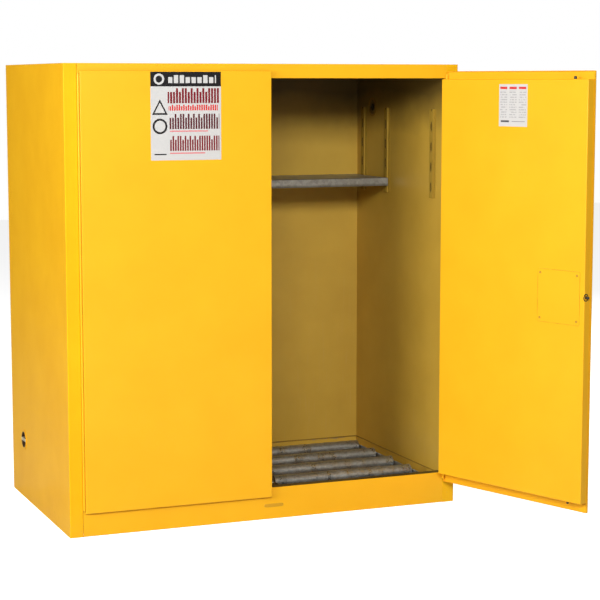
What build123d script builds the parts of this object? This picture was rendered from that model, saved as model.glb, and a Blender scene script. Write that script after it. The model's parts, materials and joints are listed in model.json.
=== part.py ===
from build123d import *
import math
import os

# A two-door, double-walled steel cabinet for flammable liquids in drums.
# Millimetres. +X to the right, +Y to the back, +Z up.
# Origin: middle of the base outline, on the floor.

os.makedirs("parts", exist_ok=True)

# ---- driving dimensions: cabinet body ----
overall_width = 1499.0
overall_depth = 864.0
overall_height = 1651.0
sheet = 1.2  # 18 gauge steel
wall_gap = 38.0  # air space between the two walls
bend = 2.6  # outer radius of a folded edge
stile_width = 48.0
header_height = 51.0
sill_height = 116.0
sill_depth = 40.0
jamb_depth = 20.0
flange_width = 20.0
base_clearance = 15.0  # from the floor to the outer bottom panel
sump_depth = 50.0
spacer_half = 20.0  # half the width of a wall spacer
spacer_inset = 30.0  # upright spacers' ends inside the floor and the ceiling
spacer_front = 50.0  # lying spacers' front ends behind the cabinet's front
side_spacer_gaps = (540.4, 280.4)  # side spacers ahead of the inner back
bite = 5.0  # how far a cutting shape passes a face

# ---- driving dimensions: doors ----
door_front = 14.0  # front of a door ahead of the cabinet's front plane
skin_flange = 8.5
door_gap = 3.0  # between the two closed doors
seam_offset = 5.0  # middle of the gap, right of the cabinet's centre plane
skin_over_header = 26.0
skin_over_sill = 32.0
pan_gap = 3.5  # pan to header and to sill
door_open_angle = 110.0
stiffener_u = 300.0  # from a hinge axis to the channel inside its door
stiffener_inset = 20.0

# ---- driving dimensions: piano hinges ----
leaf_sheet = 1.5
leaf_gap = 0.25  # from the pin's axis plane to a leaf
barrel_radius = 4.0
hinge_pin_radius = 2.0
running_fit = 0.05
knuckle_count = 29
knuckle_gap = 0.4
pin_head = 1.0
hinge_inset = 11.0  # hinge ends inside the skin's ends
door_leaf_width = 26.0
leaf_end_gap = 0.5

# ---- driving dimensions: latch ----
latch_height = 848.0
cam_from_edge = 73.25  # from the right door's free edge to the cam's axis
paddle_from_edge = 125.25
bar_to_pan = 7.413  # from the middle of the side bolt's bar to the pan's inner face
bolt_stroke = 15.0
bolt_radius = 5.0
bolt_hole_gap = 1.0
bolt_reach = 11.0  # bolt ends outside the door pan
cam_swing = 40.0
paddle_axis_depth = 8.0  # behind the front of the skin
bar_sheet = 3.0
rod_sheet = 4.0
cam_thickness = 4.0
cam_pin_radius = 3.0
post_radius = 4.0
layer_gap = 0.5
strike_sheet = 2.0
strike_height = 60.0
strike_margin = 9.0  # plate ahead of the bolt's axis
slot_gap = 0.3
dish_width = 116.0
dish_height = 124.0
dish_depth = 22.0
dish_wall = 1.5
dish_lip = 12.0
dish_lip_thickness = 2.0
paddle_length = 70.0
paddle_height = 100.0
paddle_thickness = 4.0
paddle_lift = 1.0  # front of the paddle ahead of the skin
paddle_heel = 6.0  # paddle's plate past its axis
pivot_pin_radius = 2.5
tail_half = 2.0
tail_height = 10.0
tail_room = 2.5  # room beside the paddle's tail in the dish's slot
lock_radius = 9.0
lock_from_axis = 40.0
lock_collar = 2.0
lock_length = 12.0
lock_tongue = 20.0
keyway_width = 1.6
keyway_height = 9.0
bridge_height = 60.0
bridge_sheet = 2.0
bridge_gap = 1.8  # from the bridge to the rods
post_end = 2.5  # post past the cam, with its root
bridge_free_reach = 50.0  # bridge past the cam's axis, towards the free edge
bridge_hinge_reach = 32.0
rod_width = 12.0
rod_arm = 10.0  # height of a rod's cranked arm
rod_shank = 32.0
rod_weld = 12.0  # overlap of a round bolt and its flat rod
bolt_nose = 3.5
bar_height = 20.0
bar_past_cam = 56.0
bar_end = 15.0  # bar past the window
guide_sheet = 2.0
guide_width = 30.0
guide_from_end = 40.0  # bolt guides inside the pan's ends
side_guide_inset = 12.0
cover_from_edge = 117.75
latch_cover_z = 842.0
latch_cover_size = 190.0
latch_cover_corner = 6.0
window_margin = 12.0  # access window inside the cover's screws
screw_spacing_u = 165.0
screw_spacing_z = 160.0
screw_radius = 2.5
screw_head_radius = 4.75
screw_head = 2.2
screw_length = 6.0

# ---- driving dimensions: inside ----
standard_front_gap = 100.0  # front standards behind the jambs
standard_back_gaps = (292.4, 68.4)  # the others ahead of the inner back
standard_foot = 10.0  # welding flange on each side of a standard
standard_drop = 125.6  # below the ceiling
standard_length = 335.0
standard_depth = 8.0
standard_face = 30.0
slot_pitch = 76.2
slot_count = 4
first_slot_rise = 41.0  # above the standards' lower ends
slot_height = 20.0
slot_width = 6.0
bracket_sheet = 1.5
bracket_width = 24.0
bracket_tab = 24.0
bracket_rise = 12.0  # bracket above the middle of its slot
hook_width = 4.0
hook_reach = 3.2
hook_sheet = 1.8
hook_rise = 8.0
hook_drop = 7.0
shelf_rise = 18.0  # above the first slots
shelf_lip = 32.0
shelf_depth = 326.0
shelf_clearance = 3.5
roller_radius = 24.1
roller_count = 4
roller_front_gap = 92.0  # first roller behind the sill
roller_back_gap = 195.4  # last roller ahead of the inner back
roller_top = 128.0
roller_wall = 1.5
bearing_length = 12.0
axle_radius = 5.0
axle_end = 3.0  # axle past a rail
rail_sheet = 3.0
rail_foot = 25.0
rail_overhang = 80.0
rail_tie = 40.0
rail_gap = 4.0  # from a roller's end to its rail
bay_middle_gap = 55.0  # from the cabinet's middle to a bay's axle ends
bay_side_gap = 74.1  # from a bay's axle ends to the side wall

# ---- driving dimensions: vents, earth stud, feet, labels ----
vent_tube_radius = 34.0
vent_bore_radius = 30.2
vent_flange_radius = 39.0
vent_flange = 2.0
vent_lip = 1.5
vent_lip_radius = 38.0
arrester_depth = 10.0
arrester_sheet = 1.0
arrester_hole = 2.1  # radius
arrester_pitch = 7.6
arrester_rings = 3
arrester_inset = 12.0
cap_length = 18.0
cap_recess = 10.0
cap_rim = 4.0
cap_proud = 1.0
cap_bar = 11.0
low_vent_from_back = 192.0
low_vent_height = 227.0
high_vent_from_back = 189.0
high_vent_drop = 124.6  # below the ceiling
stud_radius = 3.175
stud_length = 19.0
stud_from_back = 132.0
stud_height = 70.0
stud_nut_radius = 8.0
stud_nut = 3.0
foot_radius = 20.0
foot_stud_radius = 5.0
foot_stud_rise = 14.0
foot_inset = 70.0
warning_width = 258.0
warning_height = 306.0
warning_from_edge = 190.5  # from the left door's free edge
warning_drop = 4.0  # below the top of the skin
card_width = 132.0
card_height = 149.0
card_u = 289.0
card_drop = 17.5  # below the top of the pan
label_thickness = 0.4

# ---- derived places ----
side = overall_width / 2
front = -overall_depth / 2
back = overall_depth / 2
inner_side = side - 2 * sheet - wall_gap  # inner face of the inner side wall
jamb = side - stile_width
panel_top = overall_height - sheet
inner_back = back - 3 * sheet - wall_gap
inner_top = overall_height - 2 * sheet - wall_gap
header_bottom = overall_height - header_height
floor_bottom = base_clearance + sheet + wall_gap
floor_top = floor_bottom + sheet
opening_back = front + jamb_depth
sill_back = front + sill_depth
foot_x = side - foot_inset
foot_y = back - foot_inset
foot_places = [(-foot_x, -foot_y), (foot_x, -foot_y), (-foot_x, foot_y), (foot_x, foot_y)]

hinge_x = jamb - leaf_sheet - leaf_gap
skin_front = front - door_front
rim = skin_front + skin_flange
hinge_y = rim + leaf_sheet - barrel_radius
pan_back = skin_front + 2 * sheet + wall_gap
skin_bottom = sill_height - skin_over_sill
skin_top = header_bottom + skin_over_header
pan_bottom = sill_height + pan_gap
pan_top = header_bottom - pan_gap
skin_edge_u = barrel_radius + 0.5
pan_edge_u = skin_edge_u + sheet + leaf_sheet + 0.8
left_skin_end = seam_offset - door_gap / 2
right_skin_end = seam_offset + door_gap / 2
free_edge_u = hinge_x - right_skin_end
cam_u = free_edge_u - cam_from_edge
paddle_u = free_edge_u - paddle_from_edge
latch_cover_u = free_edge_u - cover_from_edge
warning_left = left_skin_end - warning_from_edge - warning_width
warning_bottom = skin_top - warning_drop - warning_height
card_bottom = pan_top - card_drop - card_height
hinge_bottom = skin_bottom + hinge_inset
hinge_top = skin_top - hinge_inset
knuckle = (hinge_top - hinge_bottom) / knuckle_count

paddle_y = skin_front + paddle_axis_depth
bar_y = pan_back - sheet - bar_to_pan
tail_reach = bar_y - paddle_y
half_swing = math.atan(bolt_stroke / (2 * tail_reach))
half_cam = math.radians(cam_swing / 2)
cam_reach = bolt_stroke / (2 * math.sin(half_cam))
pin_drift = cam_reach * (1 - math.cos(half_cam))  # sideways wander of a cam pin in its slot
pin_mean = cam_reach - pin_drift / 2
cam_z = latch_height - pin_mean
cam_radius = cam_reach + cam_pin_radius + 3.0
paddle_face = skin_front - paddle_lift
paddle_barrel = barrel_radius + 1.0
lock_x = hinge_x - paddle_u + lock_from_axis
cam_back = bar_y - bar_sheet / 2 - layer_gap
cam_front = cam_back - cam_thickness
rod_back = cam_front - layer_gap
rod_front = rod_back - rod_sheet
rod_y = (rod_front + rod_back) / 2
bracket_back = rod_front - bridge_gap
bracket_front = bracket_back - bridge_sheet
bolt_hole = bolt_radius + bolt_hole_gap
dish_u = paddle_u + 16.0 - dish_width / 2
dish_back = skin_front + dish_depth

roller_z = roller_top - roller_radius
rail_top = roller_z + axle_radius + 3.5
bay_half = (inner_side - bay_middle_gap - bay_side_gap) / 2
bay_centre = bay_middle_gap + bay_half
rail_x = bay_half - axle_end - rail_sheet  # inner face of a rail from its bay's centre
roller_length = 2 * (rail_x - rail_gap)
first_roller = sill_back + roller_front_gap
roller_pitch = (inner_back - roller_back_gap - first_roller) / (roller_count - 1)
roller_rows = [first_roller + roller_pitch * i for i in range(roller_count)]

standard_rows = [opening_back + standard_front_gap]
standard_rows += [inner_back - gap for gap in standard_back_gaps]
standard_top = inner_top - standard_drop
standard_bottom = standard_top - standard_length
first_slot = standard_bottom + first_slot_rise
shelf_top = first_slot + shelf_rise
low_vent = (back - low_vent_from_back, low_vent_height)
high_vent = (back - high_vent_from_back, inner_top - high_vent_drop)
stud_place = (back - stud_from_back, stud_height)


# ---- shared shapes ----
def block(x0, x1, y0, y1, z0, z1):
    """A box between two corners."""
    lows = (Align.MIN, Align.MIN, Align.MIN)
    return Pos(x0, y0, z0) * Box(x1 - x0, y1 - y0, z1 - z0, align=lows)


def rod(x, y, z, radius, length, axis):
    """A cylinder from a point along +X, +Y or +Z."""
    turn = {"X": Rot(0, 90, 0), "Y": Rot(-90, 0, 0), "Z": Rot(0, 0, 0)}[axis]
    ends = (Align.CENTER, Align.CENTER, Align.MIN)
    return Pos(x, y, z) * turn * Cylinder(radius, length, align=ends)


def folded(points):
    """The section of a folded sheet whose middle follows the points."""
    return trace(FilletPolyline(*points, radius=bend - sheet / 2), sheet)


def tray(width, height, depth, radius):
    """An open box of sheet: its face at z = 0, its rim at z = depth."""
    middle = (Align.CENTER, Align.CENTER, Align.MIN)
    outer = Box(width, height, depth, align=middle)
    outer = fillet(outer.edges().filter_by(Axis.Z) + outer.edges().group_by(Axis.Z)[0], radius)
    inner = Pos(0, 0, sheet) * Box(width - 2 * sheet, height - 2 * sheet, depth, align=middle)
    inner_edges = inner.edges().filter_by(Axis.Z) + inner.edges().group_by(Axis.Z)[0]
    return outer - fillet(inner_edges, radius - sheet)


def mirrored(shape):
    """The same piece on the other side of the cabinet's middle."""
    return mirror(shape, about=Plane.YZ)


def group(solids):
    """Separate solids that share one node."""
    return Compound([s for piece in solids for s in piece.solids()])


def save(shape, name):
    """One file for one node."""
    export_step(shape, f"parts/{name}.step")


# ---- cabinet body ----
def outer_side():
    """Left side: rear flange, side, front stile, jamb and return, folded from one sheet."""
    half = sheet / 2
    section = folded(
        [
            (-side + flange_width, back - half),
            (-side + half, back - half),
            (-side + half, front + half),
            (-jamb - half, front + half),
            (-jamb - half, opening_back - half),
            (-inner_side, opening_back - half),
        ]
    )
    wrap = extrude(section, panel_top)
    edge = -side + flange_width
    for z0 in (0, panel_top - sheet):
        wrap += block(-side + half, edge, front + flange_width, back - 2 * sheet, z0, z0 + sheet)
    return wrap


def vent_hole(y, z):
    """Cutting shape for a collar's tube, through both left walls."""
    length = side - inner_side + 2 * bite
    return rod(-side - bite, y, z, vent_tube_radius + slot_gap, length, "X")


def inner_wall():
    """Left inner side wall, from behind the stile to behind the inner back."""
    x = -inner_side - sheet
    low = base_clearance + sheet
    return block(x, -inner_side, front + sheet, inner_back + sheet, low, inner_top)


def header():
    """Face, underside and return over the doorway, folded from one sheet."""
    half = sheet / 2
    section = folded(
        [
            (front + half, panel_top),
            (front + half, header_bottom + half),
            (opening_back - half, header_bottom + half),
            (opening_back - half, inner_top),
        ]
    )
    shape = Plane.YZ.offset(-jamb) * extrude(section, 2 * jamb)
    return shape - rod(hinge_x - cam_u, rod_y, header_bottom - bite, bolt_hole, 2 * bite, "Z")


def sill():
    """Raised front sill; behind the jambs it widens to meet the side walls and dam the sump."""
    half = sheet / 2
    section = folded(
        [
            (front + flange_width, half),
            (front + half, half),
            (front + half, sill_height - half),
            (opening_back, sill_height - half),
        ]
    )
    shape = Plane.YZ.offset(-jamb) * extrude(section, 2 * jamb)
    dam = folded(
        [
            (opening_back, sill_height - half),
            (sill_back - half, sill_height - half),
            (sill_back - half, floor_top),
        ]
    )
    shape += Plane.YZ.offset(-inner_side) * extrude(dam, 2 * inner_side)
    return shape - rod(hinge_x - cam_u, rod_y, sill_height - bite, bolt_hole, 2 * bite, "Z")


def sump_floor():
    """Inner floor with upstands on three sides, welded inside the walls."""
    x = inner_side
    top = floor_bottom + sump_depth
    floor = block(-jamb, jamb, front + sheet, inner_back, floor_bottom, floor_top)
    floor += block(-x, x, opening_back, inner_back, floor_bottom, floor_top)
    floor += block(-x, -x + sheet, sill_back, inner_back, floor_bottom, top)
    floor += block(x - sheet, x, sill_back, inner_back, floor_bottom, top)
    floor += block(-x, x, inner_back - sheet, inner_back, floor_bottom, top)
    return floor


def outer_back():
    """Flat panel inside the side wraps' rear flanges."""
    x = side - bend
    return block(-x, x, back - 2 * sheet, back - sheet, 0, panel_top)


def outer_top():
    """Flat panel welded over the wraps and the header."""
    top = block(-side, side, front, back, panel_top, overall_height)
    return fillet(top.edges().group_by(Axis.Z)[-1], sheet * 0.8)


def inner_back_wall():
    """Back of the inner box, from the outer bottom to the ceiling."""
    x = inner_side
    low = base_clearance + sheet
    return block(-x, x, inner_back, inner_back + sheet, low, inner_top)


def inner_ceiling():
    """Top of the inner box, with a strip that reaches the header between the jambs."""
    x = inner_side + sheet
    z1 = inner_top + sheet
    ceiling = block(-x, x, opening_back, inner_back + sheet, inner_top, z1)
    return ceiling + block(-jamb, jamb, opening_back - sheet, inner_back, inner_top, z1)


def channel(length):
    """A spacer channel between two walls: web at z = 0, legs up to the wall gap, along Y."""
    shape = block(-spacer_half, spacer_half, 0, length, 0, sheet)
    for x in (-spacer_half, spacer_half - sheet):
        shape += block(x, x + sheet, 0, length, 0, wall_gap)
    return shape


def spacers():
    """Channels that hold the two walls apart, clear of the vents."""
    stand = Rot(90, 0, 0)
    height = inner_top - floor_top - 2 * spacer_inset
    low = floor_top + spacer_inset
    pieces = []
    for y in (inner_back - gap for gap in side_spacer_gaps):
        piece = Pos(inner_side + sheet, y, low) * Rot(0, 0, 90) * stand * channel(height)
        pieces += [piece, mirrored(piece)]
    for x in (-inner_side / 2, 0, inner_side / 2):
        pieces.append(Pos(x, back - 2 * sheet, low) * stand * channel(height))
    y0 = front + spacer_front
    depth = inner_back - spacer_inset - y0
    for x in (-inner_side / 2, inner_side / 2):
        pieces.append(Pos(x, y0, inner_top + sheet) * channel(depth))
    for bay in (-bay_centre, bay_centre):
        for x in (bay - rail_x, bay + rail_x):
            pieces.append(Pos(x, y0, base_clearance + sheet) * channel(depth))
    return pieces


def feet():
    """Four levelling feet, screwed right in, through threaded holes in the outer bottom."""
    length = base_clearance + sheet + foot_stud_rise
    pieces = []
    for x, y in foot_places:
        pad = rod(x, y, 0, foot_radius, base_clearance / 2, "Z")
        pieces.append(pad + rod(x, y, 0, foot_stud_radius, length, "Z"))
    return pieces


def outer_bottom():
    """Flat panel between the side wraps, with a threaded hole for each foot."""
    x1 = side - sheet
    top = base_clearance + sheet
    shape = block(-x1, x1, opening_back, back - bend, base_clearance, top)
    shape += block(-jamb, jamb, front + sheet, back - bend, base_clearance, top)
    for x, y in foot_places:
        hole = foot_stud_radius + running_fit
        shape -= rod(x, y, base_clearance - bite, hole, 2 * bite, "Z")
    return shape


def standards():
    """Six slotted channels, raised from the inner side walls, that carry the shelf brackets."""
    face = inner_side - standard_depth
    pieces = []
    for y in standard_rows:
        y0 = y - standard_face / 2
        y1 = y + standard_face / 2
        foot = inner_side - sheet
        z0 = standard_bottom
        z1 = standard_top
        shape = block(face, face + sheet, y0, y1, z0, z1)
        shape += block(face, inner_side, y0, y0 + sheet, z0, z1)
        shape += block(face, inner_side, y1 - sheet, y1, z0, z1)
        shape += block(foot, inner_side, y0 - standard_foot, y0 + sheet, z0, z1)
        shape += block(foot, inner_side, y1 - sheet, y1 + standard_foot, z0, z1)
        for i in range(slot_count):
            low = first_slot + slot_pitch * i - slot_height / 2
            half = slot_width / 2
            high = low + slot_height
            shape -= block(face - bite, face + 2 * sheet, y - half, y + half, low, high)
        pieces += [shape, mirrored(shape)]
    return pieces


def shelf_brackets():
    """Four brackets, hooked through the slots, with a tab under each end of the shelf."""
    face = inner_side - standard_depth
    tab = shelf_top - shelf_lip
    low = tab - bracket_sheet
    half = bracket_width / 2
    grip = hook_width / 2
    hook_top = first_slot + hook_rise
    hook_bottom = first_slot - slot_height / 2 - hook_drop
    hook_end = face + hook_reach
    pieces = []
    for y in standard_rows[1:]:
        top = first_slot + bracket_rise
        shape = block(face - bracket_sheet, face, y - half, y + half, low, top)
        shape += block(face - bracket_tab, face, y - half, y + half, low, tab)
        shape += block(face, hook_end, y - grip, y + grip, first_slot - 1, hook_top)
        hook_start = hook_end - hook_sheet
        shape += block(hook_start, hook_end, y - grip, y + grip, hook_bottom, hook_top)
        pieces += [shape, mirrored(shape)]
    return pieces


def shelf():
    """Half-depth galvanized shelf: a shallow tray turned over, lips down."""
    width = 2 * (inner_side - standard_depth - shelf_clearance)
    middle = inner_back - 2 * sheet - shelf_depth / 2
    shape = Rot(180, 0, 0) * tray(width, shelf_depth, shelf_lip, bend)
    return Pos(0, middle, shelf_top) * shape


# ---- vents and earth stud ----
def vent_collar(y, z):
    """Pipe collar through both walls on the left side, with a flange on each face."""
    outside = -side - vent_flange
    inside = -inner_side + vent_lip
    collar = rod(outside, y, z, vent_flange_radius, vent_flange, "X")
    collar += rod(outside, y, z, vent_tube_radius, inside - outside, "X")
    collar += rod(-inner_side, y, z, vent_lip_radius, vent_lip, "X")
    return collar - rod(outside - 1, y, z, vent_bore_radius, inside - outside + 2, "X")


def flame_arrester(y, z):
    """Two perforated discs and the ring between them, pressed in the collar's inner end."""
    radius = vent_bore_radius - running_fit
    x = -inner_side - arrester_inset
    holes = []
    across = 2 * arrester_rings
    row_pitch = arrester_pitch * math.sin(math.radians(60))
    for row in range(-arrester_rings, arrester_rings + 1):
        for i in range(across + 1 - abs(row)):
            shift = (i - (across - abs(row)) / 2) * arrester_pitch
            place = (x - bite, y + shift, z + row * row_pitch)
            holes.append(rod(*place, arrester_hole, arrester_depth + 2 * bite, "X"))
    shape = rod(x, y, z, radius, arrester_depth, "X")
    hollow = arrester_depth - 2 * arrester_sheet
    shape -= rod(x + arrester_sheet, y, z, radius - 2 * arrester_sheet, hollow, "X")
    return shape - holes


def vent_cap(y, z):
    """Threaded plug with a recessed face and a bar across it for a wrench."""
    radius = vent_bore_radius - running_fit
    x = -side - vent_flange - cap_proud
    cap = rod(x, y, z, radius, cap_length, "X")
    cap -= rod(x - 1, y, z, radius - cap_rim, cap_recess + 1, "X")
    half = cap_bar / 2
    reach = radius - cap_rim / 2
    return cap + block(x + 1, x + cap_recess + 1, y - reach, y + reach, z - half, z + half)


def earth_stud():
    """Hexagonal boss welded to the right side, and the threaded stud on it."""
    y, z = stud_place
    nut = extrude(RegularPolygon(stud_nut_radius, 6), stud_nut)
    boss = Pos(side, y, z) * Rot(0, 90, 0) * nut
    return boss + rod(side + stud_nut, y, z, stud_radius, stud_length, "X")


# ---- drum rollers ----
def roller_frame(bay):
    """Two rails on feet, tied across under the first and the last roller."""
    y0 = roller_rows[0] - rail_overhang
    y1 = roller_rows[-1] + rail_overhang
    foot_top = floor_top + rail_sheet
    shape = block(bay - rail_x, bay + rail_x, y0, y0 + rail_tie, floor_top, foot_top)
    shape += block(bay - rail_x, bay + rail_x, y1 - rail_tie, y1, floor_top, foot_top)
    for hand in (-1, 1):
        x = sorted((bay + hand * rail_x, bay + hand * (rail_x + rail_sheet)))
        foot = sorted((bay + hand * rail_x, bay + hand * (rail_x - rail_foot)))
        shape += block(*x, y0, y1, floor_top, rail_top)
        shape += block(*foot, y0, y1, floor_top, foot_top)
        for y in roller_rows:
            hole = axle_radius + running_fit
            shape -= rod(x[0] - 1, y, roller_z, hole, rail_sheet + 2, "X")
    return shape


def roller(bay, y):
    """Steel tube with a bored bearing in each end."""
    x = bay - roller_length / 2
    shape = rod(x, y, roller_z, roller_radius, roller_length, "X")
    inner = roller_length - 2 * bearing_length
    shape -= rod(x + bearing_length, y, roller_z, roller_radius - roller_wall, inner, "X")
    bore = axle_radius + running_fit
    return shape - rod(x - 1, y, roller_z, bore, roller_length + 2, "X")


def axles():
    half = rail_x + rail_sheet + axle_end
    places = [(bay - half, y) for bay in (-bay_centre, bay_centre) for y in roller_rows]
    return [rod(x, y, roller_z, axle_radius, 2 * half, "X") for x, y in places]


# ---- piano hinges, drawn on the right-hand side with the door closed ----
def barrels(first):
    """Every second knuckle from the first, as solid barrels."""
    solids = []
    for i in range(first, knuckle_count, 2):
        z0 = hinge_bottom + knuckle * i + (knuckle_gap / 2 if i else 0)
        z1 = hinge_bottom + knuckle * (i + 1) - (knuckle_gap / 2 if i < knuckle_count - 1 else 0)
        solids.append(rod(hinge_x, hinge_y, z0, barrel_radius, z1 - z0, "Z"))
    return solids


def clearances(first):
    """Room cut from a leaf round every second knuckle, which belongs to the other leaf."""
    room = barrel_radius + slot_gap
    solids = []
    for i in range(first, knuckle_count, 2):
        z0 = hinge_bottom + knuckle * i - knuckle_gap / 2
        solids.append(rod(hinge_x, hinge_y, z0, room, knuckle + knuckle_gap, "Z"))
    return solids


def pin_bore():
    length = hinge_top - hinge_bottom + 2
    return rod(hinge_x, hinge_y, hinge_bottom - 1, hinge_pin_radius + running_fit, length, "Z")


def frame_leaf():
    """Leaf welded along the jamb, with the even knuckles."""
    x = hinge_x + leaf_gap
    end = x + leaf_sheet
    low = sill_height + leaf_end_gap
    high = header_bottom - leaf_end_gap
    plate = block(x, end, hinge_y, front - leaf_end_gap, hinge_bottom, hinge_top)
    plate += block(x, end, hinge_y, opening_back - 2 * leaf_end_gap, low, high)
    return (plate - clearances(1)) + barrels(0) - pin_bore()


def door_leaf():
    """Leaf bent round behind the skin's edge and welded to the pan, with the odd knuckles."""
    outer = hinge_x - pan_edge_u
    plate = block(outer, hinge_x, rim, rim + leaf_sheet, hinge_bottom, hinge_top)
    plate += block(outer, outer + leaf_sheet, rim, rim + door_leaf_width, pan_bottom, pan_top)
    return (plate - clearances(0)) + barrels(1) - pin_bore()


def hinge_pin():
    """Full-length pin, headed over at both ends."""
    shape = rod(hinge_x, hinge_y, hinge_bottom, hinge_pin_radius, hinge_top - hinge_bottom, "Z")
    for z in (hinge_bottom - pin_head, hinge_top):
        shape += rod(hinge_x, hinge_y, z, barrel_radius - 0.5, pin_head, "Z")
    return shape


# ---- doors, drawn closed on the right-hand side ----
def at(u):
    """Place across the closed right door, from its distance to the hinge axis."""
    return hinge_x - u


def door_skin(free_end):
    """Outer sheet with a short flange all round."""
    x1 = hinge_x - skin_edge_u
    z = (skin_bottom + skin_top) / 2
    shape = Rot(-90, 0, 0) * tray(x1 - free_end, skin_top - skin_bottom, skin_flange, bend)
    return Pos((x1 + free_end) / 2, skin_front, z) * shape


def door_pan(free_end):
    """Inner pan, its open side against the back of the skin."""
    x0 = free_end + bend
    x1 = hinge_x - pan_edge_u
    z = (pan_bottom + pan_top) / 2
    depth = pan_back - skin_front - sheet
    shape = Rot(90, 0, 0) * tray(x1 - x0, pan_top - pan_bottom, depth, bend)
    return Pos((x0 + x1) / 2, pan_back, z) * shape


def stiffener():
    """Upright channel between a door's two sheets."""
    length = pan_top - pan_bottom - 2 * stiffener_inset
    shape = Rot(90, 0, 0) * channel(length)
    return Pos(at(stiffener_u), pan_back - sheet, pan_bottom + stiffener_inset) * shape


def sheet_hole(x, half_x, y, z, half_z):
    """Cutting shape for a rectangular hole through a door's front or back sheet."""
    return block(x - half_x, x + half_x, y - bite, y + bite, z - half_z, z + half_z)


def latch_skin():
    """Right door's skin, with the hole for the handle's dish."""
    half_x = dish_width / 2 + slot_gap
    half_z = dish_height / 2 + slot_gap
    hole = sheet_hole(at(dish_u), half_x, skin_front, latch_height, half_z)
    return door_skin(right_skin_end) - hole


def screw_places():
    """Middle of each of the cover's four screws."""
    for u in (-screw_spacing_u / 2, screw_spacing_u / 2):
        for z in (-screw_spacing_z / 2, screw_spacing_z / 2):
            yield at(latch_cover_u) + u, latch_cover_z + z


def screw_holes():
    """Cutting shapes for the cover's screws."""
    hole = screw_radius + 2 * running_fit
    return [rod(x, pan_back - bite, z, hole, 2 * bite, "Y") for x, z in screw_places()]


def side_bolt_hole(x):
    """Cutting shape for the side bolt, through whatever lies just behind a door's free edge."""
    return rod(x - bite, bar_y, latch_height, bolt_hole, 4 * bite, "X")


def latch_pan():
    """Inner pan with the bolt holes, the access window and the cover's screw holes."""
    shape = door_pan(right_skin_end)
    half_x = screw_spacing_u / 2 - window_margin
    half_z = screw_spacing_z / 2 - window_margin
    shape -= sheet_hole(at(latch_cover_u), half_x, pan_back, latch_cover_z, half_z)
    shape -= screw_holes()
    for z in (pan_bottom, pan_top):
        shape -= rod(at(cam_u), rod_y, z - bite, bolt_hole, 2 * bite, "Z")
    return shape - side_bolt_hole(right_skin_end)


def struck_pan():
    """Left door's pan, drawn right-handed, with the hole for the side bolt."""
    return door_pan(-left_skin_end) - side_bolt_hole(-left_skin_end)


def door_strike():
    """Plate behind the side-bolt hole in the left door's pan, drawn right-handed."""
    x = -left_skin_end + bend + sheet
    z0 = latch_height - strike_height / 2
    z1 = latch_height + strike_height / 2
    shape = block(x, x + strike_sheet, bar_y - strike_margin, pan_back - bend, z0, z1)
    return shape - side_bolt_hole(-left_skin_end)


def warning_label():
    """Printed sheet high on the left door."""
    y = skin_front
    x1 = warning_left + warning_width
    z1 = warning_bottom + warning_height
    return block(warning_left, x1, y - label_thickness, y, warning_bottom, z1)


def instruction_card():
    """Small printed sheet high inside the right door."""
    x1 = at(card_u)
    y1 = pan_back + label_thickness
    top = card_bottom + card_height
    return block(x1 - card_width, x1, pan_back, y1, card_bottom, top)


# ---- handle and latch, drawn with the right door closed ----
def handle_housing():
    """Recessed dish with a lip on the skin; a slot in its back lets the paddle's tail through."""
    x = at(dish_u)
    z = latch_height
    w = dish_width / 2
    h = dish_height / 2
    lw = w + dish_lip
    lh = h + dish_lip
    face = skin_front - dish_lip_thickness
    shape = block(x - lw, x + lw, face, skin_front, z - lh, z + lh)
    edges = shape.edges().filter_by(Axis.Y) + shape.edges().group_by(Axis.Y)[0]
    shape = fillet(edges, 1.5)
    shape += block(x - w, x + w, skin_front - 1, dish_back + dish_wall, z - h, z + h)
    cw = w - dish_wall
    ch = h - dish_wall
    shape -= block(x - cw, x + cw, skin_front - bite, dish_back, z - ch, z + ch)
    tail_sweep = (dish_back + dish_wall - paddle_y) * math.tan(half_swing)
    slot = tail_sweep + tail_half + tail_room
    rise = tail_height / 2 + 2 * tail_room
    px = at(paddle_u)
    return shape - sheet_hole(px, slot, dish_back, z, rise)


def handle_pin():
    """Upright pin between the dish's top and bottom."""
    half = dish_height / 2 - dish_wall
    low = latch_height - half
    return rod(at(paddle_u), paddle_y, low, pivot_pin_radius, 2 * half, "Z")


def paddle():
    """Flat pull on an upright barrel, with a tail that works the side bolt's bar."""
    x = at(paddle_u)
    z = latch_height
    low = z - paddle_height / 2
    high = z + paddle_height / 2
    y1 = paddle_face + paddle_thickness
    plate = block(x - paddle_heel, x + paddle_length, paddle_face, y1, low, high)
    shape = fillet(plate.edges().filter_by(Axis.Y), 3.0)
    shape = fillet(shape.edges().group_by(Axis.Y)[0], 1.2)
    web = barrel_radius
    shape += block(x - web, x + web, paddle_face + 1, paddle_y, low, high)
    shape += rod(x, paddle_y, low, paddle_barrel, paddle_height, "Z")
    half = tail_height / 2
    tail = block(-tail_half, tail_half, tail_half, tail_reach + 2 * tail_half, -half, half)
    shape += Pos(x, paddle_y, z) * Rot(0, 0, math.degrees(half_swing)) * tail
    bore = pivot_pin_radius + running_fit
    shape -= rod(x, paddle_y, low - 1, bore, paddle_height + 2, "Z")
    lock_bore = lock_radius + running_fit
    return shape - rod(lock_x, paddle_face - bite, z, lock_bore, 3 * bite, "Y")


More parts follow.
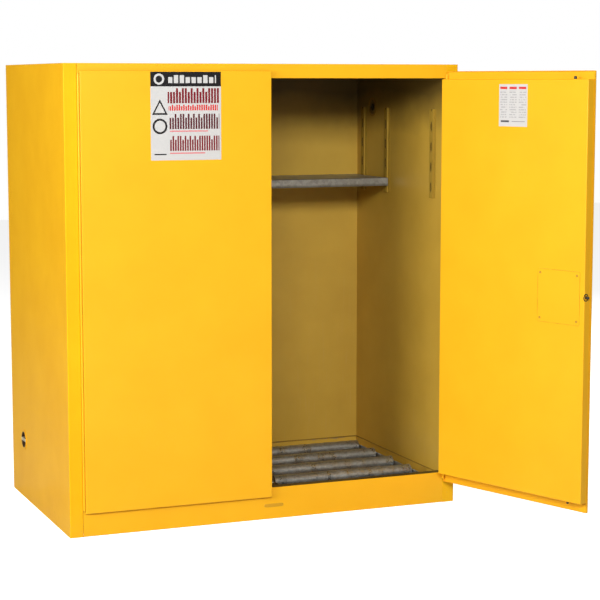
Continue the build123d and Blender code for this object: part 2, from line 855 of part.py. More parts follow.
def key_cylinder():
    """Lock plug through the paddle, with a keyway in front and a tongue behind."""
    z = latch_height
    face = paddle_face - lock_collar
    shape = rod(lock_x, face, z, lock_radius + lock_collar, lock_collar, "Y")
    shape = fillet(shape.edges().group_by(Axis.Y)[0], 0.8)
    shape += rod(lock_x, face + 1, z, lock_radius, lock_length, "Y")
    half = keyway_height / 2
    slit = keyway_width / 2
    keyway = block(lock_x - slit, lock_x + slit, face - 1, face + 4, z - half, z + half)
    tongue = block(lock_x - 3, lock_x + 3, face + 10, face + 13, z, z + lock_tongue)
    return shape - keyway + tongue


def latch_bracket():
    """Bridge on the skin's back that carries the cam's post."""
    x = at(cam_u)
    z0 = cam_z - bridge_height / 2
    z1 = cam_z + bridge_height / 2
    x0 = x - bridge_free_reach
    x1 = x + bridge_hinge_reach
    shape = block(x0, x1, bracket_front, bracket_back, z0, z1)
    for leg in (x0, x1 - bridge_sheet):
        shape += block(leg, leg + bridge_sheet, skin_front + sheet, bracket_back, z0, z1)
    length = cam_back - bracket_back + post_end
    return shape + rod(x, bracket_back - 1, cam_z, post_radius, length, "Y")


def cam_point(angle_degrees):
    """A cam pin's place at rest; 0 degrees points to the free edge, 90 degrees up."""
    turn = math.radians(angle_degrees - cam_swing / 2)
    return at(cam_u + cam_reach * math.cos(turn)), cam_z + cam_reach * math.sin(turn)


def latch_cam():
    """Disc on the post with two pins in front for the rods and one behind for the bar."""
    shape = rod(at(cam_u), cam_front, cam_z, cam_radius, cam_thickness, "Y")
    front_reach = rod_front - layer_gap
    for angle in (0, 180):
        x, z = cam_point(angle)
        shape += rod(x, front_reach, z, cam_pin_radius, cam_front - front_reach + 1, "Y")
    x, z = cam_point(90)
    shape += rod(x, cam_back - 1, z, cam_pin_radius, bar_sheet + 2 * layer_gap + 1, "Y")
    room = post_radius + running_fit
    return shape - rod(at(cam_u), cam_front - 1, cam_z, room, cam_thickness + 2, "Y")


def latch_rod(up):
    """Cranked plate with a slotted eye on its cam pin, and a bullet-ended rod through the pan."""
    def plate(u0, u1, z0, z1):
        us = sorted((at(cam_u - up * u0), at(cam_u - up * u1)))
        zs = sorted((cam_z + up * z0, cam_z + up * z1))
        return block(*us, rod_front, rod_back, *zs)

    eye = cam_pin_radius + 5.0
    half = rod_width / 2
    rest = cam_reach * math.sin(half_cam)
    high = cam_radius + 4.0
    shape = plate(pin_mean - eye, pin_mean + eye, rest - eye, high)
    shape += plate(-half, pin_mean + eye, high - rod_arm, high)
    shape += plate(-half, half, high - rod_arm, high + rod_shank)
    room = cam_pin_radius + slot_gap
    reach = pin_drift / 2 + room
    shape -= plate(pin_mean - reach, pin_mean + reach, rest - room, rest + room)
    end = pan_top + bolt_reach if up > 0 else pan_bottom - bolt_reach
    start = cam_z + up * (high + rod_shank - rod_weld)
    bolt = rod(at(cam_u), rod_y, min(start, end), bolt_radius, abs(end - start), "Z")
    tip = bolt.edges().group_by(Axis.Z)[-1 if up > 0 else 0]
    return shape + fillet(tip, bolt_nose)


def side_bolt():
    """Flat bar with a window for the paddle's tail, a slot for the cam, and a bullet end."""
    z = latch_height
    y0 = bar_y - bar_sheet / 2
    half = bar_height / 2
    window = paddle_u + tail_reach * math.tan(half_swing)
    pin_u = cam_u + cam_reach * math.sin(half_cam)
    x1 = at(window - bar_end)
    shape = block(at(cam_u + bar_past_cam), x1, y0, y0 + bar_sheet, z - half, z + half)
    shape -= sheet_hole(at(window), tail_half * 1.6, bar_y, z, tail_height / 2 + slot_gap)
    room = cam_pin_radius + slot_gap
    shape -= sheet_hole(at(pin_u), room, bar_y, z, pin_drift / 2 + room)
    end = left_skin_end - bend - sheet - strike_sheet - 2
    length = at(cam_u + bar_past_cam - rod_weld) - end
    bolt = rod(end, bar_y, z, bolt_radius, length, "X")
    return shape + fillet(bolt.edges().group_by(Axis.X)[0], bolt_nose)


def rod_guides():
    """Three plates on the skin's back that steer the bolts."""
    y0 = skin_front + sheet
    hole = bolt_radius + slot_gap
    guides = []
    x = at(cam_u)
    half = guide_width / 2
    low = pan_bottom + guide_from_end
    high = pan_top - guide_from_end - guide_sheet
    for z in (low, high):
        plate = block(x - half, x + half, y0, rod_y + bar_height / 2, z, z + guide_sheet)
        guides.append(plate - rod(x, rod_y, z - 1, hole, guide_sheet + 2, "Z"))
    x = right_skin_end + bend + side_guide_inset
    y1 = bar_y + hole + 1.2
    half = bar_height / 2
    z = latch_height
    plate = block(x, x + guide_sheet, y0, y1, z - half, z + half)
    guides.append(plate - rod(x - 1, bar_y, z, hole, guide_sheet + 2, "X"))
    return guides


def latch_cover():
    """Plate over the pan's access window."""
    x = at(latch_cover_u)
    half = latch_cover_size / 2
    z = latch_cover_z
    shape = block(x - half, x + half, pan_back, pan_back + sheet, z - half, z + half)
    shape = fillet(shape.edges().filter_by(Axis.Y), latch_cover_corner)
    return shape - screw_holes()


def cover_screws():
    """Cross-head screws that hold the cover."""
    face = pan_back + sheet
    groove = screw_head - 1.0
    screws = []
    for x, z in screw_places():
        shank = rod(x, face - sheet - screw_length, z, screw_radius, screw_length + sheet, "Y")
        head = rod(x, face, z, screw_head_radius, screw_head, "Y")
        head = fillet(head.edges().group_by(Axis.Y)[-1], 1.4)
        y0 = face + groove
        upright = block(x - 0.6, x + 0.6, y0, y0 + bite, z - 3, z + 3)
        level = block(x - 3, x + 3, y0, y0 + bite, z - 0.6, z + 0.6)
        screws.append(shank + head - upright - level)
    return screws


def opened(shape):
    """A piece of the right door, turned with it about its hinge axis to the open place."""
    return shape.rotate(Axis((hinge_x, hinge_y, 0), (0, 0, 1)), door_open_angle)


# ---- cabinet pieces ----
save(outer_side() - vent_hole(*low_vent), "outer_left_side")
save(mirrored(outer_side() - vent_hole(*high_vent)), "outer_right_side")
save(inner_wall() - vent_hole(*low_vent), "inner_left_side")
save(mirrored(inner_wall() - vent_hole(*high_vent)), "inner_right_side")
save(outer_back(), "outer_back")
save(outer_top(), "outer_top")
save(outer_bottom(), "outer_bottom")
save(inner_back_wall(), "inner_back")
save(inner_ceiling(), "inner_top")
save(sump_floor(), "sump_floor")
save(header(), "header")
save(sill(), "sill")
save(group(spacers()), "wall_spacers")
save(group(feet()), "levelling_feet")
save(group(standards()), "shelf_standards")
save(group(shelf_brackets()), "shelf_brackets")
save(shelf(), "shelf")
save(group([vent_collar(*low_vent), mirrored(vent_collar(*high_vent))]), "vent_collars")
save(group([flame_arrester(*low_vent), mirrored(flame_arrester(*high_vent))]), "flame_arresters")
save(vent_cap(*low_vent), "low_vent_cap")
save(mirrored(vent_cap(*high_vent)), "high_vent_cap")
save(earth_stud(), "earth_stud")
for side_name, bay in (("left", -bay_centre), ("right", bay_centre)):
    save(roller_frame(bay), f"{side_name}_roller_frame")
    for i, y in enumerate(roller_rows, 1):
        save(roller(bay, y), f"{side_name}_roller_{i}")
save(group(axles()), "roller_axles")
save(frame_leaf(), "right_hinge_frame_leaf")
save(mirrored(frame_leaf()), "left_hinge_frame_leaf")
save(group([hinge_pin(), mirrored(hinge_pin())]), "hinge_pins")

# ---- left door, closed ----
save(mirrored(door_skin(-left_skin_end)), "left_door_skin")
save(mirrored(struck_pan()), "left_door_pan")
save(mirrored(stiffener()), "left_door_stiffener")
save(mirrored(door_leaf()), "left_hinge_door_leaf")
save(mirrored(door_strike()), "left_door_strike")
save(warning_label(), "warning_label")

# ---- right door, open ----
save(opened(latch_skin()), "right_door_skin")
save(opened(latch_pan()), "right_door_pan")
save(opened(stiffener()), "right_door_stiffener")
save(opened(door_leaf()), "right_hinge_door_leaf")
save(opened(handle_housing()), "handle_housing")
save(opened(handle_pin()), "handle_pin")
save(opened(paddle()), "paddle_handle")
save(opened(key_cylinder()), "key_cylinder")
save(opened(latch_bracket()), "latch_bracket")
save(opened(latch_cam()), "latch_cam")
save(opened(latch_rod(1)), "top_bolt")
save(opened(latch_rod(-1)), "bottom_bolt")
save(opened(side_bolt()), "side_bolt")
save(group([opened(guide) for guide in rod_guides()]), "rod_guides")
save(opened(latch_cover()), "latch_cover")
save(group([opened(screw) for screw in cover_screws()]), "cover_screws")
save(opened(instruction_card()), "instruction_card")
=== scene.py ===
# %% [markdown]
# A double-walled steel safety cabinet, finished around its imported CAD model.
# The CAD model holds every sheet, hinge, bolt and roller at its real size. This script gives them
# their finishes, and adds what a paint shop and a label printer would add.
# The frame is loaded first, because every later piece takes its place from it.

# %% Load the frame
import json
import math

import bpy
import numpy as np
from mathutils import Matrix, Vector


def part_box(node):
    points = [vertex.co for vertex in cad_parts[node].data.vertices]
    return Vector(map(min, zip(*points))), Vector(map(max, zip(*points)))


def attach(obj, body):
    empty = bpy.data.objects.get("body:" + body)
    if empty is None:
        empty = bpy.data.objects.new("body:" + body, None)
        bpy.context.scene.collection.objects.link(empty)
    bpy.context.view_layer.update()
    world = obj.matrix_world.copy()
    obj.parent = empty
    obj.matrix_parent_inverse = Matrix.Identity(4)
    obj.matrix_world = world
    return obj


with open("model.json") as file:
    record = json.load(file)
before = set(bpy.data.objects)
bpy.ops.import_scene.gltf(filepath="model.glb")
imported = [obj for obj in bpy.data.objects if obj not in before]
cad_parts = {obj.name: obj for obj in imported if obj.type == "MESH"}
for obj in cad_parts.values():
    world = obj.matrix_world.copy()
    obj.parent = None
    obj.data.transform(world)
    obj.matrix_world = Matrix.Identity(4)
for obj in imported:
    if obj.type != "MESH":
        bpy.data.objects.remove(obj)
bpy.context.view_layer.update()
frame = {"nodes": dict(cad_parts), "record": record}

# %% [markdown]
# ## The camera
# A tall cabinet is best seen from far away through a long lens, so that its uprights stay parallel.
# The camera stands to the left of the cabinet at about the height of its top, and looks slightly down.
# Its place was found from the cabinet's own corners.

# %% Camera
camera_place = Vector((-2.2969, -6.3707, 1.5864))
camera_yaw = math.radians(22.13)  # towards +X from straight ahead
camera_pitch = math.radians(-6.98)
sensor_width = 36.0
focal_length = 106.8

lens = bpy.data.cameras.new("camera")
lens.sensor_width = sensor_width
lens.lens = focal_length
lens.clip_end = 60.0
camera = bpy.data.objects.new("camera", lens)
camera.location = camera_place
camera.rotation_euler = (math.pi / 2 + camera_pitch, 0.0, -camera_yaw)
bpy.context.scene.collection.objects.link(camera)
bpy.context.scene.camera = camera
print("camera", round(camera_place.length, 2), "m from the origin")

# %% [markdown]
# ## Arithmetic on sockets
# A material is a graph of nodes, and a formula is easier to read than a graph. The two small classes
# below let a formula build its own graph. `Shade` is one number, colour or vector on its way through a
# material, and every + - * / > < between shades adds the node that does it. `Graph` is a tree of
# nodes: its method `node` adds any other node from a type, its settings and its inputs. `Finish` is a
# graph that makes a material.

# %% Expressions that build nodes
class Shade:
    """A socket's value. Arithmetic on it adds Math nodes to the same graph."""

    def __init__(self, graph, socket):
        self.graph = graph
        self.socket = socket

    def math(self, operation, *values):
        """This value and the others through one Math node."""
        inputs = dict(enumerate((self, *values)))
        return self.graph.node("ShaderNodeMath", {"operation": operation}, inputs)

    def __add__(self, other):
        return self.math("ADD", other)

    def __radd__(self, other):
        return self.math("ADD", other)

    def __sub__(self, other):
        return self.math("SUBTRACT", other)

    def __rsub__(self, other):
        return self.graph.node("ShaderNodeMath", {"operation": "SUBTRACT"}, {0: other, 1: self})

    def __mul__(self, other):
        return self.math("MULTIPLY", other)

    def __rmul__(self, other):
        return self.math("MULTIPLY", other)

    def __truediv__(self, other):
        return self.math("DIVIDE", other)

    def __gt__(self, other):
        return self.math("GREATER_THAN", other)

    def __lt__(self, other):
        return self.math("LESS_THAN", other)

    def __abs__(self):
        return self.math("ABSOLUTE")

    def fraction(self):
        """What is left after the whole number, which repeats a pattern."""
        return self.math("FRACT")

    def root(self):
        """The square root, for distances."""
        return self.math("SQRT")

    def wave(self):
        """The sine."""
        return self.math("SINE")

    def larger(self, other):
        """The larger of the two, which joins two masks."""
        return self.math("MAXIMUM", other)

    def smaller(self, other):
        """The smaller of the two, which finds the nearest of several places."""
        return self.math("MINIMUM", other)


class Graph:
    """A tree of nodes, and the one method that adds them."""

    def __init__(self, tree):
        self.tree = tree

    def node(self, kind, settings=None, inputs=None, output=0):
        """Adds a node: its settings first, then values or links by socket name or number."""
        made = self.tree.nodes.new(kind)
        for key, value in (settings or {}).items():
            setattr(made, key, value)
        for key, value in (inputs or {}).items():
            self.plug(made.inputs[key], value)
        return Shade(self, made.outputs[output])

    def plug(self, socket, value):
        """Links a shade to a socket, or sets a plain value on it."""
        if isinstance(value, Shade):
            self.tree.links.new(value.socket, socket)
        else:
            socket.default_value = value

    def parts(self, point):
        """A vector's three numbers."""
        split = {"Vector": point}
        return [self.node("ShaderNodeSeparateXYZ", inputs=split, output=i) for i in range(3)]

    def between(self, value, low, high, new_low=0.0, new_high=1.0):
        """The value carried from one range to another, and held inside it."""
        inputs = {0: value, 1: low, 2: high, 3: new_low, 4: new_high}
        return self.node("ShaderNodeMapRange", {"clamp": True}, inputs)


class Finish(Graph):
    """A material with one Principled shader."""

    def __init__(self, name, **constants):
        self.material = bpy.data.materials.new(name)
        self.material.use_nodes = True
        super().__init__(self.material.node_tree)
        self.shader = self.tree.nodes["Principled BSDF"]
        self.set(**constants)

    def set(self, **values):
        """Sets or links the shader's own sockets, with _ for a space in their names."""
        for key, value in values.items():
            self.plug(self.shader.inputs[key.replace("_", " ")], value)

    def place(self):
        """Object coordinates in metres, and their three numbers."""
        point = self.node("ShaderNodeTexCoord", output="Object")
        return point, *self.parts(point)

    def noise(self, point, scale, detail=2.0, roughness=0.5):
        """Clouds from 0 to 1, with scale features to the metre."""
        inputs = {"Vector": point, "Scale": scale, "Detail": detail, "Roughness": roughness}
        return self.node("ShaderNodeTexNoise", inputs=inputs)

    def mix(self, factor, a, b):
        """Colour a turning into colour b as the factor goes from 0 to 1."""
        return self.node("ShaderNodeMix", {"data_type": "RGBA"}, {0: factor, 6: a, 7: b}, output=2)

    def stretch(self, point, factors):
        """The point with each of its numbers multiplied, which draws a pattern out along an axis."""
        return self.node("ShaderNodeVectorMath", {"operation": "MULTIPLY"}, {0: point, 1: factors})

    def bump(self, height, distance):
        """Relief: the height from 0 to 1 stands for that distance in metres."""
        inputs = {"Height": height, "Distance": distance}
        self.set(Normal=self.node("ShaderNodeBump", inputs=inputs))

    def inside(self, a, b, left, right, bottom, top):
        """1 within a rectangle of the two numbers, 0 outside."""
        return (a > left) * (a < right) * (b > bottom) * (b < top)


def colour(red, green, blue):
    """A colour from 0 to 255, as a paint chart gives it, made linear for the shader."""
    code = np.array((red, green, blue)) / 255
    linear = np.where(code <= 0.04045, code / 12.92, ((code + 0.055) / 1.055) ** 2.4)
    return (*linear.tolist(), 1.0)


dressed = {}


def dress(finish, *nodes):
    """Gives CAD nodes a finish, in place of the plain one they came with."""
    for name in nodes:
        slots = frame["nodes"][name].data.materials
        slots.clear()
        slots.append(finish.material)
        dressed[name] = finish.material.name
    print(finish.material.name, "on", len(nodes), "nodes")


# %% [markdown]
# ## Yellow powder coat
# The sheets are sprayed with yellow powder and baked. The coat flows a little before it sets, which
# leaves an orange-peel surface, with dimples about 3 mm wide and a few micrometres deep. Large flat
# sheets keep a slight waviness from rolling and welding, which shows as soft changes in their
# reflections. Dust settles low down, and trolleys scuff the base. It is all made from noise at
# different scales on Object coordinates, so neighbouring sheets join without a break.
# Spot welds hold the outer sheets to the spacer channels behind them. Each leaves a shallow dimple
# under the paint, and a grid of them is one distance formula on the same coordinates.

# %% Powder coat
coat_yellow = colour(243, 181, 30)
coat_amber = colour(240, 176, 26)
coat_dust = colour(196, 160, 84)
weld_pitch = 0.075
weld_radius = 0.004


def powder_coat(name, fresh, deep, dust=0.5, weld_lines=(), axis="x", shine=0.28, shade_and_mark=None):
    """Yellow gloss.

    weld_lines are places along an axis where upright rows of spot welds run. The last argument is a
    function of the coat and the point, and gives how strong a painted shade or other mark is there and
    what colour it has.
    """
    coat = Finish(name, Specular_IOR_Level=shine)
    point, x, y, z = coat.place()
    waves = coat.noise(point, 1.9, detail=1.0)
    cloud = coat.noise(point, 6.0, detail=3.0)
    peel = coat.noise(point, 330.0, detail=1.0)
    scuff = coat.between(coat.noise(point, 60.0, detail=6.0, roughness=0.72), 0.60, 0.68)
    low = coat.between(z, 0.0, 0.12, 1.0, 0.0)
    body = coat.mix(coat.between(cloud, 0.3, 0.7), fresh, deep)
    grime = low * (0.25 * cloud + 0.75 * scuff) * dust
    paint = coat.mix(grime, body, coat_dust)
    # A painted shade or another mark, laid over the paint.
    if shade_and_mark:
        strength, shade_and_mark_colour = shade_and_mark(coat, point)
        paint = coat.mix(strength, paint, shade_and_mark_colour)
    coat.set(Base_Color=paint, Roughness=0.29 + 0.07 * cloud + 0.25 * scuff * low)
    height = 0.035 * peel + waves
    across = x if axis == "x" else y
    beside = ((z / weld_pitch).fraction() - 0.5) * weld_pitch
    for line in weld_lines:
        away = ((across - line) * (across - line) + beside * beside).root()
        height = height - coat.between(away, 0.0, weld_radius, 0.09, 0.0)
    coat.bump(height, 0.0012)
    return coat


outer_coat = powder_coat("yellow_powder_coat", coat_yellow, coat_amber)
dress(outer_coat, "outer_top", "outer_bottom")
dress(outer_coat, "left_door_skin", "right_door_skin", "left_door_pan", "right_door_pan")
dress(outer_coat, "left_hinge_frame_leaf", "right_hinge_frame_leaf")
dress(outer_coat, "left_hinge_door_leaf", "right_hinge_door_leaf")
back_lines = [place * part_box("inner_back")[1][0] for place in (-0.5, 0.0, 0.5)]
welded_back = powder_coat("spot_welded_back", coat_yellow, coat_amber, 0.6, back_lines)
dress(welded_back, "outer_back")
side_yellow = colour(242, 182, 22)
side_amber = colour(236, 174, 20)
side_lines = (-0.15, 0.11)
welded_side = powder_coat("spot_welded_sides", side_yellow, side_amber, 0.7, side_lines, "y", 0.1)
dress(welded_side, "outer_left_side", "outer_right_side")

# %% [markdown]
# ## Header and sill
# The header and the sill are folded back under the doors' edges. The fold is painted nearly black a few
# millimetres behind the front face, as painted shade in the gaps round the doors. The measure is each
# point's distance behind the front, along Y.

# %% Header and sill
frame_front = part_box("sill")[0][1]
# Nearly black: painted shade in the gaps round the doors.
fold_shade = colour(58, 46, 22)


def shaded_fold(coat, point):
    """Painted shade, nearly black, on everything a few millimetres behind the front face."""
    _, y, _ = coat.parts(point)
    return coat.between(y - frame_front, 0.0015, 0.0045), fold_shade


frame_coat = powder_coat("folded_frame_coat", coat_yellow, coat_amber, 0.0, shade_and_mark=shaded_fold)
dress(frame_coat, "header", "sill")

# %% [markdown]
# ## The coat inside
# The inner box has a duller and a little greener coat than the doors, and its yellow is darker, as
# painted shade of the interior. Under the ceiling it turns brown, as painted shadow of the header. Each
# panel rubs along its height where drums and cans touch it. The sump floor is worse: drum rims drag
# across it, so it carries long pale scratches down to the steel.

# %% Inner coat
# Both inner yellows are darker than the outer coat's: painted shade of the interior.
inner_shaded_fresh = colour(201, 163, 60)
inner_shaded_deep = colour(191, 153, 53)
ceiling_shade_brown = colour(72, 56, 24)
bare_steel = colour(150, 146, 138)


def inner_coat(name, wear):
    """Duller yellow with rubbed streaks; wear from 0 to 1 sets how far they go to the steel."""
    coat = Finish(name)
    point, _, _, z = coat.place()
    cloud = coat.noise(point, 5.0, detail=4.0)
    peel = coat.noise(point, 330.0, detail=1.0)
    rubbed = coat.noise(coat.stretch(point, (160.0, 160.0, 5.0)), 1.0, detail=4.0, roughness=0.6)
    streak = coat.between(rubbed, 0.60, 0.66) * coat.between(z, 0.2, 1.0, 0.35, 0.0)
    dragged = coat.noise(coat.stretch(point, (7.0, 120.0, 60.0)), 1.0, detail=5.0, roughness=0.7)
    scratch = coat.between(dragged, 0.61, 0.64) * wear
    body = coat.mix(coat.between(cloud, 0.3, 0.7), inner_shaded_fresh, inner_shaded_deep)
    body = coat.mix(streak, body, coat_dust)
    # Painted shadow of the header: the coat turns brown under the ceiling.
    ceiling_shade = coat.between(z + 0.1 * cloud, 1.44, 1.60, 0.0, 0.85)
    body = coat.mix(ceiling_shade, body, ceiling_shade_brown)
    coat.set(Base_Color=coat.mix(scratch, body, bare_steel))
    coat.set(Metallic=scratch, Roughness=0.42 + 0.10 * cloud + 0.08 * streak)
    coat.bump(0.05 * peel + 0.6 * cloud - 0.05 * scratch, 0.0008)
    return coat


inner_sheets = ("inner_left_side", "inner_right_side", "inner_back", "inner_top")
dress(inner_coat("inner_powder_coat", 0.0), *inner_sheets)
dress(inner_coat("scraped_sump_coat", 0.8), "sump_floor")

# %% [markdown]
# ## Shelf standards
# The standards are spot-welded in before painting. Their yellow is darker than the walls', as painted
# shade, and every slot has a dark edge, as painted shadow of the slot. The slots repeat up each
# standard, so one fraction of the height finds them all, and the edge is an ellipse round each.

# %% Shelf standards
slot_pitch = 0.0762
slot_half = (0.003, 0.010)  # along Y and Z
slot_start = 0.041  # from a standard's foot to the middle of its first slot
middle_row = 0.2924  # from the inner back to the middle standards
standards_low, standards_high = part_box("shelf_standards")
first_slot = standards_low[2] + slot_start
standard_half = 0.025
standard_rows = (
    standards_low[1] + standard_half,
    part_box("inner_back")[0][1] - middle_row,
    standards_high[1] - standard_half,
)
standard_coat = Finish("slotted_standard_coat", Specular_IOR_Level=0.15)
point, _, y, z = standard_coat.place()
tone = standard_coat.noise(point, 8.0, detail=3.0)
rise = abs(((z - first_slot) / slot_pitch + 0.5).fraction() - 0.5) * (slot_pitch / slot_half[1])
beside = 9.0
for row in standard_rows:
    beside = abs(y - row).smaller(beside)
beside = beside / slot_half[0]
from_slot = (rise * rise + beside * beside).root()
# Painted shadow: a dark ellipse round each slot.
slot_shade = standard_coat.between(from_slot, 1.6, 2.3, 1.0, 0.0)
ragged = standard_coat.between(standard_coat.noise(point, 150.0, detail=4.0), 0.3, 0.5)
# Painted shade: the standards' yellow is darker than the walls'.
paint = standard_coat.mix(tone, colour(170, 138, 50), colour(158, 126, 44))
paint = standard_coat.mix(slot_shade * (0.6 + 0.4 * ragged), paint, colour(84, 66, 26))
standard_coat.set(Base_Color=paint, Roughness=0.5 + 0.1 * tone + 0.1 * slot_shade)
standard_coat.bump(standard_coat.noise(point, 330.0, detail=1.0), 0.00004)
dress(standard_coat, "shelf_standards")

# %% [markdown]
# ## Painted-over screws
# The cover's screws went through the paint line with the door, so they are yellow too, with paint
# pooled in their crosses. A patchy darker tone and a soft relief show it.

# %% Painted screws
screw_coat = Finish("painted_screw_heads")
point, *_ = screw_coat.place()
pool = screw_coat.noise(point, 500.0, detail=2.0)
screw_coat.set(Base_Color=screw_coat.mix(pool, colour(176, 128, 30), colour(214, 160, 30)))
screw_coat.set(Roughness=0.35 + 0.2 * pool)
screw_coat.bump(pool, 0.0004)
dress(screw_coat, "cover_screws")

# %% [markdown]
# ## Galvanized sheet
# Hot-dip zinc freezes in flat crystals called spangle, each with its own grey. A Voronoi pattern
# gives flat cells with one random value each, and that value sets the grey and the roughness of its
# crystal. Two sizes of cell overlap, because small crystals freeze between the large ones.

# %% Galvanized sheet
zinc_pale = colour(176, 178, 174)
zinc_grey = colour(128, 130, 128)


def galvanized(name, cell, rubbed=0.0, lip=None):
    """Spangle with cells of that size in metres.

    Rubbed adds bright bands along X. Lip is the height of a folded lip's lowest edge; the lowest
    centimetre above it is painted darker, as painted shade.
    """
    sheet = Finish(name)
    point, _, _, z = sheet.place()
    crystals = [
        sheet.node("ShaderNodeTexVoronoi", inputs={"Vector": point, "Scale": scale}, output="Color")
        for scale in (1.0 / cell, 2.3 / cell)
    ]
    large, small = (sheet.parts(crystal)[0] for crystal in crystals)
    grain = sheet.noise(sheet.stretch(point, (40.0, 900.0, 900.0)), 1.0, detail=3.0)
    tone = 0.5 * large + 0.3 * small + 0.2 * grain
    band = sheet.between(sheet.noise(sheet.stretch(point, (30.0, 2.0, 2.0)), 1.0), 0.5, 0.6)
    white_rust = sheet.between(sheet.noise(point, 14.0, detail=6.0), 0.62, 0.75, 0.0, 0.35)
    body = sheet.mix(tone, zinc_grey, zinc_pale)
    body = sheet.mix(white_rust, body, colour(196, 198, 194))
    if lip is not None:
        # Painted shade on the lowest centimetre of the shelf's lip.
        lip_underside_shade = sheet.between(z - lip, 0.002, 0.012, 0.7, 0.0)
        body = sheet.mix(lip_underside_shade, body, colour(74, 70, 54))
    sheet.set(Base_Color=body, Metallic=0.85 - 0.6 * white_rust)
    sheet.set(Roughness=0.36 + 0.22 * tone + 0.25 * white_rust - 0.16 * rubbed * band)
    sheet.bump(tone + 0.4 * grain, 0.00008)
    return sheet


stiffeners = ("left_door_stiffener", "right_door_stiffener")
dress(galvanized("galvanized_shelf", 0.012, lip=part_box("shelf")[0][2]), "shelf")
dress(galvanized("galvanized_channels", 0.012), "wall_spacers", *stiffeners)
rollers = [f"{hand}_roller_{i}" for hand in ("left", "right") for i in (1, 2, 3, 4)]
dress(galvanized("rubbed_galvanized_rollers", 0.007, rubbed=1.0), *rollers)

# %% [markdown]
# ## Zinc-plated steel
# Small fittings are electroplated and passivated, which leaves a thin film with a faint blue and
# yellow bloom over a drawn grain. The bloom is a slow noise between two tints, and the grain is a
# noise drawn out along the height. The hinge pins are plain drawn steel, brown with oil, and the same
# formula makes them with other tints.

# %% Zinc plate
def plated(name, cool, warm, gloss, grain_depth):
    """Metal with a bloom between two tints, dull spots and an upright grain of that depth."""
    plate = Finish(name, Metallic=1.0)
    point, *_ = plate.place()
    bloom = plate.between(plate.noise(point, 25.0, detail=3.0), 0.35, 0.65)
    grain = plate.noise(plate.stretch(point, (1400.0, 1400.0, 60.0)), 1.0, detail=3.0)
    spots = plate.between(plate.noise(point, 160.0, detail=4.0), 0.62, 0.74, 0.0, 0.5)
    plate.set(Base_Color=plate.mix(spots, plate.mix(bloom, cool, warm), colour(92, 88, 82)))
    plate.set(Roughness=gloss + 0.14 * grain + 0.2 * spots)
    plate.bump(grain, grain_depth)
    return plate


zinc_plate = plated("zinc_plate", colour(186, 192, 200), colour(202, 198, 184), 0.24, 0.00006)
dress(zinc_plate, "shelf_brackets", "levelling_feet")
dress(zinc_plate, "left_roller_frame", "right_roller_frame", "roller_axles")
dress(zinc_plate, "left_door_strike", "handle_pin", "latch_bracket", "latch_cam", "rod_guides")
oiled_pin = plated("oiled_pin_steel", colour(84, 72, 46), colour(66, 58, 42), 0.42, 0.00006)
dress(oiled_pin, "hinge_pins")

# %% [markdown]
# ## Chrome
# The paddle and its lock are chromed and handled every day. Chrome itself has no grain: what shows is
# the smear of fingers, which changes only its roughness, and fine scratches along its height.

# %% Chrome
chrome = Finish("fingered_chrome", Metallic=1.0, Base_Color=colour(226, 228, 232))
point, *_ = chrome.place()
smear = chrome.between(chrome.noise(point, 38.0, detail=5.0, roughness=0.6), 0.45, 0.65)
scratch = chrome.noise(chrome.stretch(point, (2400.0, 2400.0, 90.0)), 1.0, detail=4.0)
chrome.set(Roughness=0.05 + 0.13 * smear + 0.06 * scratch)
chrome.bump(scratch, 0.00002)
dress(chrome, "paddle_handle", "key_cylinder")

# %% [markdown]
# ## Black fittings
# The handle's dish is sprayed satin black with a fine texture. The three bolts are blackened steel:
# their rounded ends rub the frame at every closing, so the black is thin there and the steel shines.
# The worn ends need no mask by hand, because each bolt's own box says where its tip is.

# %% Black dish and bolts
dish_black = Finish("satin_black_dish")
point, *_ = dish_black.place()
texture = dish_black.noise(point, 900.0, detail=2.0)
dust = dish_black.between(dish_black.noise(point, 30.0, detail=4.0), 0.5, 0.75, 0.0, 0.25)
dish_black.set(Base_Color=dish_black.mix(dust, colour(24, 24, 25), colour(84, 80, 74)))
dish_black.set(Roughness=0.42 + 0.2 * texture)
dish_black.bump(texture, 0.00025)
dress(dish_black, "handle_housing")

bolt_black = colour(26, 25, 25)
bolt_steel = colour(140, 136, 130)
wear_length = 0.016


def worn_bolt(name, node, axis, tip, inward):
    """Blackened steel whose last stretch, from its tip inwards along an axis, is rubbed bright."""
    steel = Finish(name)
    point, *numbers = steel.place()
    along = (numbers[axis] - tip) * inward
    scratch = steel.noise(point, 260.0, detail=5.0, roughness=0.7)
    worn = steel.between(along, 0.0, wear_length, 0.45, 0.0) * steel.between(scratch, 0.4, 0.6)
    steel.set(Base_Color=steel.mix(worn, bolt_black, bolt_steel))
    steel.set(Metallic=0.5 + 0.5 * worn, Roughness=0.34 + 0.22 * scratch)
    steel.bump(scratch, 0.0001)
    dress(steel, node)


worn_bolt("blackened_top_bolt", "top_bolt", 2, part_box("top_bolt")[1][2], -1.0)
worn_bolt("blackened_bottom_bolt", "bottom_bolt", 2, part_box("bottom_bolt")[0][2], 1.0)
worn_bolt("blackened_side_bolt", "side_bolt", 1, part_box("side_bolt")[0][1], 1.0)

# %% [markdown]
# ## Brass stud
# The earthing stud is brass with a machine thread. A helix is a plane wave in the angle round the
# stud plus the distance along it, so one sine of that sum cuts the whole thread as a bump.

